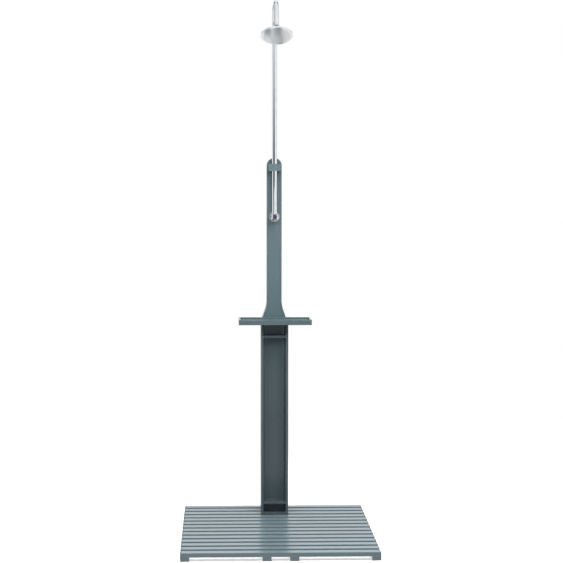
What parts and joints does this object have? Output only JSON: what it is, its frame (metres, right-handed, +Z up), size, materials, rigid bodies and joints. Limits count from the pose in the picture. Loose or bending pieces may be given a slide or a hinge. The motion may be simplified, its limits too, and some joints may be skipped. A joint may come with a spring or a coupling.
{
  "type": "outdoor shower post",
  "caption": "Free-standing outdoor shower: slatted platform, H-section column, soap tray, valve and gooseneck riser with a tilting round head.",
  "frame": {"origin": "middle of the platform's footprint, on the floor", "axes": "+X to the right and +Y to the back as seen from the front, +Z up"},
  "size_m": [0.8, 0.8, 2.2919],
  "materials": {
    "post_paint": "gloss blue-grey powder coat",
    "slat_paint": "gloss blue-grey powder coat",
    "bearer_paint": "gloss blue-grey powder coat",
    "clamp_paint": "satin blue-grey powder coat",
    "plug_plastic": "moulded, grey",
    "steel": "stainless",
    "spray_steel": "satin chrome",
    "chrome": "polished",
    "supply_chrome": "polished",
    "brass": "turned",
    "clip_brass": "cast",
    "ceramic": "lapped ceramic",
    "seat_plastic": "low-friction plastic",
    "cap_plastic": "navy",
    "nozzle_rubber": "silicone"
  },
  "bodies": {
    "post": {"slat_01": "slat_paint", "slat_02": "slat_paint", "slat_03": "slat_paint", "slat_04": "slat_paint", "slat_05": "slat_paint", "slat_06": "slat_paint", "slat_07": "slat_paint", "slat_08": "slat_paint", "slat_09": "slat_paint", "slat_10": "slat_paint", "slat_11": "slat_paint", "slat_12": "slat_paint", "slat_13": "slat_paint", "slat_14": "slat_paint", "bearer_left": "bearer_paint", "bearer_mid_left": "bearer_paint", "bearer_mid_right": "bearer_paint", "bearer_right": "bearer_paint", "foot_plate": "post_paint", "column": "post_paint", "stiffeners_low": "post_paint", "stiffeners_high": "post_paint", "tray_seat_plate": "post_paint", "tray_floor": "post_paint", "tray_cross_plates": "post_paint", "tray_side_plates": "post_paint", "post_face_plate": "post_paint", "post_edge_band": "post_paint", "riser_clamp": "clamp_paint", "escutcheon": "clamp_paint", "slat_end_plugs": "plug_plastic", "slat_screws": "steel", "foot_bolts": "steel", "tray_screws": "steel", "clamp_screws": "steel", "clamp_grub_screw": "steel", "elbow_screws": "steel", "clamp_plate": "steel", "riser_tube": "chrome", "valve_body": "chrome", "arm_plug": "chrome", "valve_back_nut": "brass", "cartridge": "brass", "upper_elbow": "brass", "wall_elbow": "brass", "hose_nipple": "brass", "supply_pipe": "supply_chrome", "pipe_clips": "clip_brass", "fixed_disc": "ceramic"},
    "knob_unit": {"knob": "chrome", "knob_cap": "cap_plastic", "knob_screw": "steel", "turning_disc": "ceramic"},
    "ball_swivel": {"ball_stud": "chrome", "stud_clip": "steel"},
    "shower_head": {"neck_nut": "chrome", "ball_seat": "seat_plastic", "head_shell": "chrome", "spray_plate": "spray_steel", "nozzle_mat": "nozzle_rubber"}
  },
  "joints": [
    {"name": "knob_turn", "type": "hinge", "parent": "post", "child": "knob_unit", "pos_m": [0, 0.24, 1.35], "axis": [0, -1, 0], "range_deg": [0, 90]},
    {"name": "head_swivel", "type": "hinge", "parent": "post", "child": "ball_swivel", "pos_m": [0, 0.04579, 2.14855], "axis": [0, 0.4384, 0.8988], "range_deg": [-180, 180]},
    {"name": "head_tilt", "type": "hinge", "parent": "ball_swivel", "child": "shower_head", "pos_m": [0, 0.04579, 2.14855], "axis": [1, 0, 0], "range_deg": [-20, 20]}
  ]
}
